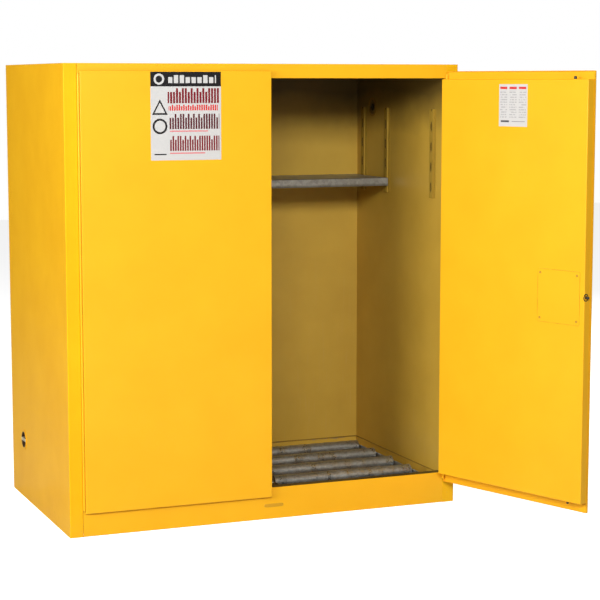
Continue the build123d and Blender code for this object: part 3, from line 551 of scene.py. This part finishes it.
# %% Brass stud
thread_pitch = 0.00127
stud_low, stud_high = (Vector(corner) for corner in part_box("earth_stud"))
stud_axis = (stud_low + stud_high) / 2
brass = Finish("threaded_brass", Metallic=1.0)
point, x, y, z = brass.place()
angle = (y - stud_axis.y).math("ARCTAN2", z - stud_axis.z)
helix = (angle + (2 * math.pi / thread_pitch) * x).wave()
on_thread = x > stud_low.x + 0.004
tarnish = brass.between(brass.noise(point, 220.0, detail=4.0), 0.4, 0.7)
brass.set(Base_Color=brass.mix(tarnish, colour(214, 178, 96), colour(146, 108, 52)))
brass.set(Roughness=0.22 + 0.3 * tarnish)
brass.bump(helix * on_thread + 0.2 * tarnish, 0.0004)
dress(brass, "earth_stud")

# %% [markdown]
# ## Vent caps
# Each vent is closed by a threaded plug with a recessed face and a bar to turn it by. The recess is
# dark with old thread compound, and wrenches have rubbed the bar bright. The bar is told from the
# recess by its height: it is the part within a few millimetres of the plug's axis.

# %% Vent caps
bar_half = 0.0056


def vent_plug(name, node):
    """Dark thread compound, with a bright bar across the plug's own axis."""
    plug = Finish(name)
    point, _, _, z = plug.place()
    low, high = (Vector(corner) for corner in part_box(node))
    axis = (low + high) / 2
    smear = plug.noise(point, 120.0, detail=5.0)
    bar = abs(z - axis.z) < bar_half
    bright = bar * plug.between(smear, 0.25, 0.5)
    plug.set(Base_Color=plug.mix(bright, colour(62, 40, 16), colour(226, 216, 180)))
    plug.set(Metallic=0.5 * bright, Roughness=0.55 - 0.2 * bright + 0.1 * smear)
    plug.bump(smear, 0.0006)
    dress(plug, node)


vent_plug("low_vent_plug_face", "low_vent_cap")
vent_plug("high_vent_plug_face", "high_vent_cap")

# %% [markdown]
# ## Vent tubes and arresters
# A vent tube runs through both walls, so its outer end was sprayed with the outside and its inner end
# with the inside: the coat changes along X. In its mouth sits the flame arrester, a disc of fine gauze
# that lets vapour out and keeps a flame from coming in. A painted ring holds it. Its middle is painted
# nearly black, darkest between the wires, as painted shade of the vent's dark mouth. Its wires are two
# sine waves across each other.

# %% Vent tubes and arresters
gauze_pitch = 0.0016
coat_change = (0.715, 0.738)  # along X on either side, between the inner wall and the outer
tube_coat = Finish("two_sided_tube_coat", Specular_IOR_Level=0.28)
point, x, *_ = tube_coat.place()
outward = tube_coat.between(abs(x), *coat_change)
tone = tube_coat.noise(point, 6.0, detail=3.0)
tube_coat.set(Base_Color=tube_coat.mix(outward, colour(150, 112, 30), side_amber))
tube_coat.set(Roughness=0.34 + 0.12 * tone)
tube_coat.bump(tube_coat.noise(point, 330.0, detail=1.0), 0.00004)
dress(tube_coat, "vent_collars")

mouth_radius = 0.016
vent_places = [
    [(low + high) / 2 for low, high in zip(*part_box(node))][1:]
    for node in ("low_vent_cap", "high_vent_cap")
]
gauze = Finish("dark_arrester_gauze")
point, _, y, z = gauze.place()
from_axis = 1.0
for vent_y, vent_z in vent_places:
    away = ((y - vent_y) * (y - vent_y) + (z - vent_z) * (z - vent_z)).root()
    from_axis = away.smaller(from_axis)
shaded_mouth = gauze.between(from_axis, mouth_radius - 0.002, mouth_radius, 1.0, 0.0)
wires = (y * (2 * math.pi / gauze_pitch)).wave().larger((z * (2 * math.pi / gauze_pitch)).wave())
soot = gauze.between(gauze.noise(point, 60.0, detail=4.0), 0.4, 0.7)
# Painted shade: the gauze is nearly black, darkest between its wires, for the dark vent mouth.
shaded_mesh_colour = gauze.mix(gauze.between(wires, 0.2, 0.9), colour(14, 11, 8), colour(54, 48, 38))
gauze.set(Base_Color=gauze.mix(shaded_mouth, colour(124, 94, 32), shaded_mesh_colour))
gauze.set(Metallic=0.4 * shaded_mouth, Roughness=0.5 + 0.3 * soot)
gauze.bump(wires, 0.0003)
dress(gauze, "flame_arresters")

# %% [markdown]
# ## Printed sheets
# A sheet high on the left door and a small card inside the right one carry printed notices. Here they
# are generic: bands, bars, a plain triangle and a plain ring stand where a notice would have its
# heading, lines and signs, and nothing on them can be read. Every mark is a formula on two numbers
# that go from 0 to 1 across and up the sheet, so the print stays sharp at any distance.

# %% Printed marks
ink_black = colour(24, 22, 24)
ink_maroon = colour(120, 24, 34)
ink_red = colour(206, 52, 50)
ink_grey = colour(132, 130, 136)
film_white = colour(200, 199, 197)


def bars(sheet, a, b, row, count, open_part, seed):
    """Upright bars in a row given by its left, right, bottom and top; some are shorter."""
    left, right, bottom, top = row
    step = a * count + seed
    solid = step.fraction() > open_part
    chance = sheet.node("ShaderNodeTexWhiteNoise", {"noise_dimensions": "1D"}, {"W": step.math("FLOOR")})
    missing = (b > top - 0.25 * (top - bottom)) * (chance > 0.55)
    return sheet.inside(a, b, left, right, bottom, top) * solid * (1.0 - missing)


warning_low, warning_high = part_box("warning_label")
notice = Finish("printed_door_notice", IOR=1.46)
point, x, _, z = notice.place()
a = (x - warning_low[0]) / (warning_high[0] - warning_low[0])
b = (z - warning_low[2]) / (warning_high[2] - warning_low[2])
aspect = (warning_high[2] - warning_low[2]) / (warning_high[0] - warning_low[0])


def ring(centre_a, centre_b, radius):
    """Distance from the edge of a circle, outwards, in widths of the sheet."""
    side = a - centre_a
    rise = (b - centre_b) * aspect
    return (side * side + rise * rise).root() - radius


def triangle(centre_a, bottom, width, height):
    """1 inside an upright triangle."""
    slope = (b - bottom) / height
    return (abs(a - centre_a) < (1.0 - slope) * (width / 2)) * (b > bottom)


header_band = b > 0.835
emblem = abs(ring(0.12, 0.917, 0.060)) < 0.014
heading = bars(notice, a, b, (0.25, 0.93, 0.872, 0.962), 12.0, 0.26, 0.3)
black_rows = bars(notice, a, b, (0.26, 0.975, 0.352, 0.525), 27.0, 0.34, 0.2)
maroon_rows = bars(notice, a, b, (0.24, 0.975, 0.645, 0.815), 24.0, 0.30, 0.7)
maroon_rows = maroon_rows.larger(bars(notice, a, b, (0.26, 0.975, 0.105, 0.275), 29.0, 0.34, 0.5))
red_rows = bars(notice, a, b, (0.25, 0.955, 0.562, 0.628), 31.0, 0.34, 0.1)
thin_rows = notice.inside(a, b, 0.27, 0.81, 0.322, 0.336)
thin_rows = thin_rows.larger(notice.inside(a, b, 0.27, 0.77, 0.072, 0.086))
sign = triangle(0.13, 0.515, 0.22, 0.175) - triangle(0.13, 0.535, 0.15, 0.118)
sign = sign.larger(abs(ring(0.13, 0.385, 0.090)) < 0.014)
sign = sign.larger(notice.inside(a, b, 0.05, 0.22, 0.060, 0.074))

print_colour = notice.mix(maroon_rows, film_white, ink_maroon)
print_colour = notice.mix(black_rows, print_colour, colour(84, 28, 36))
print_colour = notice.mix(red_rows, print_colour, ink_red)
print_colour = notice.mix(thin_rows, print_colour, colour(214, 120, 124))
print_colour = notice.mix(sign, print_colour, ink_black)
print_colour = notice.mix(header_band, print_colour, ink_black)
print_colour = notice.mix(header_band * emblem.larger(heading), print_colour, film_white)
film_grain = notice.noise(point, 700.0, detail=2.0)
bubbles = notice.between(notice.noise(point, 90.0, detail=1.0), 0.68, 0.76)
notice.set(Base_Color=print_colour, Roughness=0.24 + 0.08 * film_grain)
notice.bump(0.15 * film_grain + bubbles, 0.0003)
dress(notice, "warning_label")

# %% [markdown]
# ## The card inside the right door
# The right door stands open, so its sheets no longer lie along X. Its card is printed in numbers
# turned back to the closed door: a Vector Rotate about the hinge line undoes the opening, and then
# the distance from the hinge runs across the card.

# %% Inner card
hinge_joint = next(j for j in frame["record"]["behaviour"]["joints"] if j["name"] == "right_door_hinge")
hinge_x, hinge_y, _ = hinge_joint["pos_m"]
open_angle = math.radians(110.0)
card_near = 0.289  # from the hinge line to the card's near edge
card_width = 0.132
card_low, card_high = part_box("instruction_card")


def unturned(finish, point):
    """The point where it would be if the right door were closed."""
    inputs = {"Vector": point, "Center": (hinge_x, hinge_y, 0.0), "Angle": -open_angle}
    return finish.node("ShaderNodeVectorRotate", {"rotation_type": "Z_AXIS"}, inputs)


card = Finish("printed_inner_card", IOR=1.46)
point, *_ = card.place()
turned = unturned(card, point)
closed_x, _, closed_z = card.parts(turned)
along = (hinge_x - card_near - closed_x) / card_width
up = (closed_z - card_low[2]) / (card_high[2] - card_low[2])
column = (along * 3.0 + 0.02).fraction()
in_column = (column > 0.12) * (column < 0.88) * (along > 0.04) * (along < 0.97)
line = (up * 17.0).fraction() > 0.55
words = card.noise(card.stretch(turned, (170.0, 170.0, 115.0)), 1.0, detail=0.0) > 0.42
text_lines = in_column * line * words * (up > 0.20) * (up < 0.86)
headings = in_column * (up > 0.885) * (up < 0.94)
foot_bar = card.inside(along, up, 0.07, 0.36, 0.10, 0.145)
foot_line = card.inside(along, up, 0.46, 0.92, 0.112, 0.128)
card_colour = card.mix(text_lines * 0.55, film_white, ink_grey)
card_colour = card.mix(headings, card_colour, ink_red)
card_colour = card.mix(foot_bar, card_colour, colour(70, 70, 74))
card_colour = card.mix(foot_line, card_colour, ink_grey)
card_grain = card.noise(point, 700.0, detail=2.0)
card.set(Base_Color=card_colour, Roughness=0.30 + 0.1 * card_grain)
card.bump(card_grain, 0.00005)
dress(card, "instruction_card")

# %% [markdown]
# ## The latch cover
# The plate over the latch was painted with the door. Its edge stands a sheet's thickness proud of the
# pan, and a thin, uneven darker line runs just inside it. The line is told by the distance from the
# plate's own outline, in numbers turned back to the closed door like the card's.

# %% Latch cover
cover_half = 0.095
cover_low, cover_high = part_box("latch_cover")
cover_middle = (Vector(cover_low) + Vector(cover_high)) / 2
from_hinge = math.hypot(cover_middle.x - hinge_x, cover_middle.y - hinge_y)
outline_colour = colour(150, 112, 24)


def darker_outline(coat, point):
    """A darker line that follows the larger of the distances sideways and upwards from the middle."""
    closed_x, _, closed_z = coat.parts(unturned(coat, point))
    sideways = abs(hinge_x - from_hinge - closed_x)
    upwards = abs(closed_z - cover_middle.z)
    edge = coat.between(sideways.larger(upwards), cover_half - 0.0035, cover_half - 0.001)
    uneven = coat.between(coat.noise(point, 20.0, detail=4.0), 0.35, 0.6, 0.15, 0.6)
    return edge * uneven, outline_colour


dress(powder_coat("latch_cover_coat", coat_yellow, coat_amber, shade_and_mark=darker_outline), "latch_cover")
print("nodes with no finish:", sorted(set(frame["nodes"]) - set(dressed)))

# %% [markdown]
# ## A mesh from a grid of points
# Every added piece is a surface of two parameters: rings of points, one ring after another. The
# faces between two rings are the same for each shape, so one function makes them all. It closes the
# first and the last ring with a flat cap, or joins the two where the rings go right round.

# %% Grid to mesh
def ringed_piece(name, rings, finish, body, loop=False):
    """Mesh of quads between closed rings; rings has one row of points for each ring.

    A loop joins its last ring to its first. Any other piece has a cap on each end.
    """
    count, around, _ = rings.shape
    index = np.arange(count * around).reshape(count, around)
    here, there = (index, np.roll(index, -1, 0)) if loop else (index[:-1], index[1:])
    quads = np.stack((here, np.roll(here, -1, 1), np.roll(there, -1, 1), there), axis=-1)
    caps = [] if loop else [index[0, ::-1].tolist(), index[-1].tolist()]
    faces = quads.reshape(-1, 4).tolist() + caps
    mesh = bpy.data.meshes.new(name)
    mesh.from_pydata(rings.reshape(-1, 3).tolist(), [], faces)
    mesh.polygons.foreach_set("use_smooth", np.ones(len(mesh.polygons), bool))
    mesh.validate()
    mesh.materials.append(finish.material)
    piece = bpy.data.objects.new(name, mesh)
    bpy.context.scene.collection.objects.link(piece)
    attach(piece, body)
    print(name, len(mesh.polygons), "faces")
    return piece


# %% [markdown]
# ## Sump welds
# The sump has to hold a spill, so its floor is welded to the sill and to the walls without a gap. A
# weld bead is a row of overlapping puddles. It could be modelled puddle by puddle, but its surface is
# simply a round profile carried along the joint, whose radius rises and falls once for each puddle.

# %% Weld beads
puddle_pitch = 0.0045
bead_radius = 0.0026


def weld_bead(name, start, end, across, up):
    """Points = joint + radius(s) * (across * cos t + up * sin t).

    The radius is the bead's own, less a little where two puddles meet: it follows the absolute
    value of a sine along the joint, and the crest of each puddle leans towards the start.
    """
    start, end, across, up = (np.array(v, float) for v in (start, end, across, up))
    length = np.linalg.norm(end - start)
    s = np.linspace(0.0, 1.0, int(length / puddle_pitch * 5))[:, None, None]
    t = np.linspace(0.0, 2 * np.pi, 9)[None, :-1, None]
    phase = np.pi * s * length / puddle_pitch + 0.5 * np.cos(t)
    radius = bead_radius * (0.74 + 0.26 * np.abs(np.sin(phase)) + 0.05 * np.sin(3.7 * phase))
    rings = start + s * (end - start) + radius * (across * np.cos(t) + up * np.sin(t))
    return ringed_piece(name, rings, weld_shade_coat, "cabinet")


# The weld is a darker yellow than the sump's coat: painted shade in the sump's corners.
weld_shade_coat = powder_coat("painted_weld", colour(150, 118, 40), colour(130, 100, 34), 0.8)
floor_low, floor_high = (np.array(corner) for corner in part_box("sump_floor"))
sill_low, sill_high = (np.array(corner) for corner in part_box("sill"))
sheet_thickness = 0.0012
bead_offset = 0.0004  # how far the front bead stands off the sill's back
near = sill_high[1] + bead_offset
far = floor_high[1] - sheet_thickness
half = floor_high[0] - sheet_thickness
level = floor_low[2] + sheet_thickness
lip = floor_high[2]
unit_x, unit_y, unit_z = np.eye(3)
weld_bead("sump_weld_front", (-half, near, level), (half, near, level), unit_y, unit_z)
weld_bead("sump_weld_left", (-half, far, lip), (-half, near, lip), unit_x, unit_z)
weld_bead("sump_weld_right", (half, near, lip), (half, far, lip), -unit_x, unit_z)
weld_bead("sump_weld_back", (half, far, lip), (-half, far, lip), -unit_y, unit_z)

# %% [markdown]
# ## Bushing of the side bolt
# The side bolt slides in the thin edge of the door, so a black plastic bushing snaps into the hole and
# keeps the bolt from scraping the paint. It is turned on a lathe in one loop: out from the bolt, over
# a rounded flange, and back to the hole.

# %% Side bolt bushing
bushing_radius = 0.0135
bushing_rise = 0.0012


def corners(name):
    """Every vertex of a CAD node, in the frame's metres."""
    node = frame["nodes"][name]
    points = np.empty(len(node.data.vertices) * 3)
    node.data.vertices.foreach_get("co", points)
    turn = np.array(node.matrix_world)
    return points.reshape(-1, 3) @ turn[:3, :3].T + turn[:3, 3]


def bushing_rings(steps=9, around=48):
    """Point = axis + u * along + radius * (v * cos t + w * sin t), with u along the bolt.

    Along and radius follow the profile: the hole's wall, then a quarter of an ellipse as the flange,
    and straight back to the hole along the door's edge.
    """
    u = np.array((-math.cos(open_angle), -math.sin(open_angle), 0.0))
    v = np.array((u[1], -u[0], 0.0))
    w = np.array((0.0, 0.0, 1.0))
    bolt = corners("side_bolt")
    pan = corners("right_door_pan")
    edge = (pan @ u).max()
    offset = ((bolt @ v).max() + (bolt @ v).min()) / 2
    height = (bolt[:, 2].max() + bolt[:, 2].min()) / 2
    hole = (bolt[:, 2].max() - bolt[:, 2].min()) / 2 + 0.0003
    quarter = np.linspace(np.pi / 2, 0.0, steps)
    radius = np.concatenate(([hole], hole + (bushing_radius - hole) * np.cos(quarter)))
    along = np.concatenate(([0.0], bushing_rise * np.sin(quarter)))
    t = np.linspace(0.0, 2 * np.pi, around, endpoint=False)[None, :, None]
    radius, along = radius[:, None, None], (edge + along)[:, None, None]
    return u * along + v * (offset + radius * np.cos(t)) + w * (height + radius * np.sin(t))


bushing_plastic = Finish("black_bushing_plastic", Base_Color=colour(20, 19, 18))
point, *_ = bushing_plastic.place()
rub = bushing_plastic.noise(point, 400.0, detail=4.0)
bushing_plastic.set(Roughness=0.5 + 0.2 * rub)
bushing_plastic.bump(rub, 0.00005)
ringed_piece("side_bolt_bushing", bushing_rings(), bushing_plastic, "right_door", loop=True)

# %% [markdown]
# ## Blank badge on the sill
# A small painted plate sits under the joint of the doors. It is left blank. Its outline is a
# superellipse, which is an oval with flatter sides, and its face is slightly crowned.

# %% Badge
badge_middle = (0.015, 0.0505)
badge_half = (0.037, 0.0065)
badge_thickness = 0.0008
squareness = 5.0


def badge_rings(steps=14, around=64):
    """Superellipse rings: x = half width * sign(cos t) * |cos t| ** (2 / squareness), z the same
    with the sine, both times a size that shrinks from 1 to 0.02 while the face rises."""
    t = np.linspace(0.0, 2 * np.pi, around, endpoint=False)
    cosine, sine = np.cos(t), np.sin(t)
    outline_x = badge_half[0] * np.sign(cosine) * np.abs(cosine) ** (2 / squareness)
    outline_z = badge_half[1] * np.sign(sine) * np.abs(sine) ** (2 / squareness)
    size = np.concatenate(([1.0], np.linspace(1.0, 0.02, steps)))[:, None]
    rise = np.concatenate(([0.0], badge_thickness * (1 - 0.5 * np.linspace(1.0, 0.02, steps) ** 6)))
    front = sill_low[1]
    x = badge_middle[0] + size * outline_x
    z = badge_middle[1] + size * outline_z
    y = np.broadcast_to((front - rise)[:, None], x.shape)
    return np.stack((x, y, z), axis=-1)


badge_coat = powder_coat("painted_badge", colour(214, 160, 30), colour(200, 148, 30), 0.9)
ringed_piece("blank_badge", badge_rings(), badge_coat, "cabinet")

# %% [markdown]
# ## Floor and light
# A pale floor and a white surround fill the shadows. The surround is dimmer towards the back, as in a
# studio with its lamps at the front, so that the cabinet's side does not mirror it. The floor looks
# nearly white, but throws back only half of the light, so that the inside of the cabinet stays dark.
# One large soft light stands in front and above, and another to the left, which reaches the inside of
# the open door. A third, weaker one stands behind on the right, so that the back, the top and the
# right side can be seen too.

# %% Floor and light
floor_glow = 0.78
floor_mesh = bpy.data.meshes.new("floor")
floor_mesh.from_pydata([(-14, -12, 0), (14, -12, 0), (14, 14, 0), (-14, 14, 0)], [], [(0, 1, 2, 3)])
floor = bpy.data.objects.new("floor", floor_mesh)
bpy.context.scene.collection.objects.link(floor)
pale = Finish("pale_floor")
point, *_ = pale.place()
cast = pale.noise(point, 1.5, detail=2.0)
pale.set(Base_Color=pale.mix(cast, (0.91, 0.91, 0.91, 1.0), (0.94, 0.94, 0.94, 1.0)), Roughness=0.9)
pale.set(Emission_Color=(1.0, 1.0, 1.0, 1.0), Emission_Strength=floor_glow)
soft_bounce = pale.node("ShaderNodeBsdfDiffuse", inputs={"Color": (0.5, 0.5, 0.5, 1.0)})
seen = pale.node("ShaderNodeLightPath", output="Is Camera Ray")
painted = Shade(pale, pale.shader.outputs[0])
shown = pale.node("ShaderNodeMixShader", inputs={0: seen, 1: soft_bounce, 2: painted})
pale.plug(pale.tree.nodes["Material Output"].inputs["Surface"], shown)
floor_mesh.materials.append(pale.material)

ambient_front = 0.12
ambient_back = 0.06
white = (1.0, 1.0, 1.0, 1.0)
world = bpy.data.worlds.new("studio")
bpy.context.scene.world = world
world.use_nodes = True
room = Graph(world.node_tree)
_, depth, _ = room.parts(room.node("ShaderNodeTexCoord", output="Generated"))
falling = room.between(depth, 0.0, 0.7, ambient_front, ambient_back)
surround = room.node("ShaderNodeBackground", inputs={0: white, 1: falling})
backdrop = room.node("ShaderNodeBackground", inputs={0: white, 1: 1.0})
seen = room.node("ShaderNodeLightPath", output="Is Camera Ray")
either = room.node("ShaderNodeMixShader", inputs={0: seen, 1: surround, 2: backdrop})
room.plug(room.tree.nodes["World Output"].inputs["Surface"], either)
bpy.context.scene.view_settings.view_transform = "Standard"


def softbox(name, place, target, size, watts):
    """A rectangular area light that faces a point."""
    light = bpy.data.lights.new(name, "AREA")
    light.shape = "RECTANGLE"
    light.size, light.size_y = size
    light.energy = watts
    lamp = bpy.data.objects.new(name, light)
    lamp.location = place
    lamp.rotation_euler = (Vector(target) - Vector(place)).to_track_quat("-Z", "Y").to_euler()
    bpy.context.scene.collection.objects.link(lamp)
    print(name, "light of", watts, "watts")


softbox("key", (-1.4, -5.6, 2.9), (0.1, 0.0, 0.7), (2.8, 0.9), 245)
softbox("side", (-5.0, -2.3, 2.2), (0.4, -0.5, 0.8), (2.6, 2.2), 240)
softbox("back", (4.0, 2.6, 3.8), (0.2, 0.0, 0.9), (2.6, 2.6), 170)
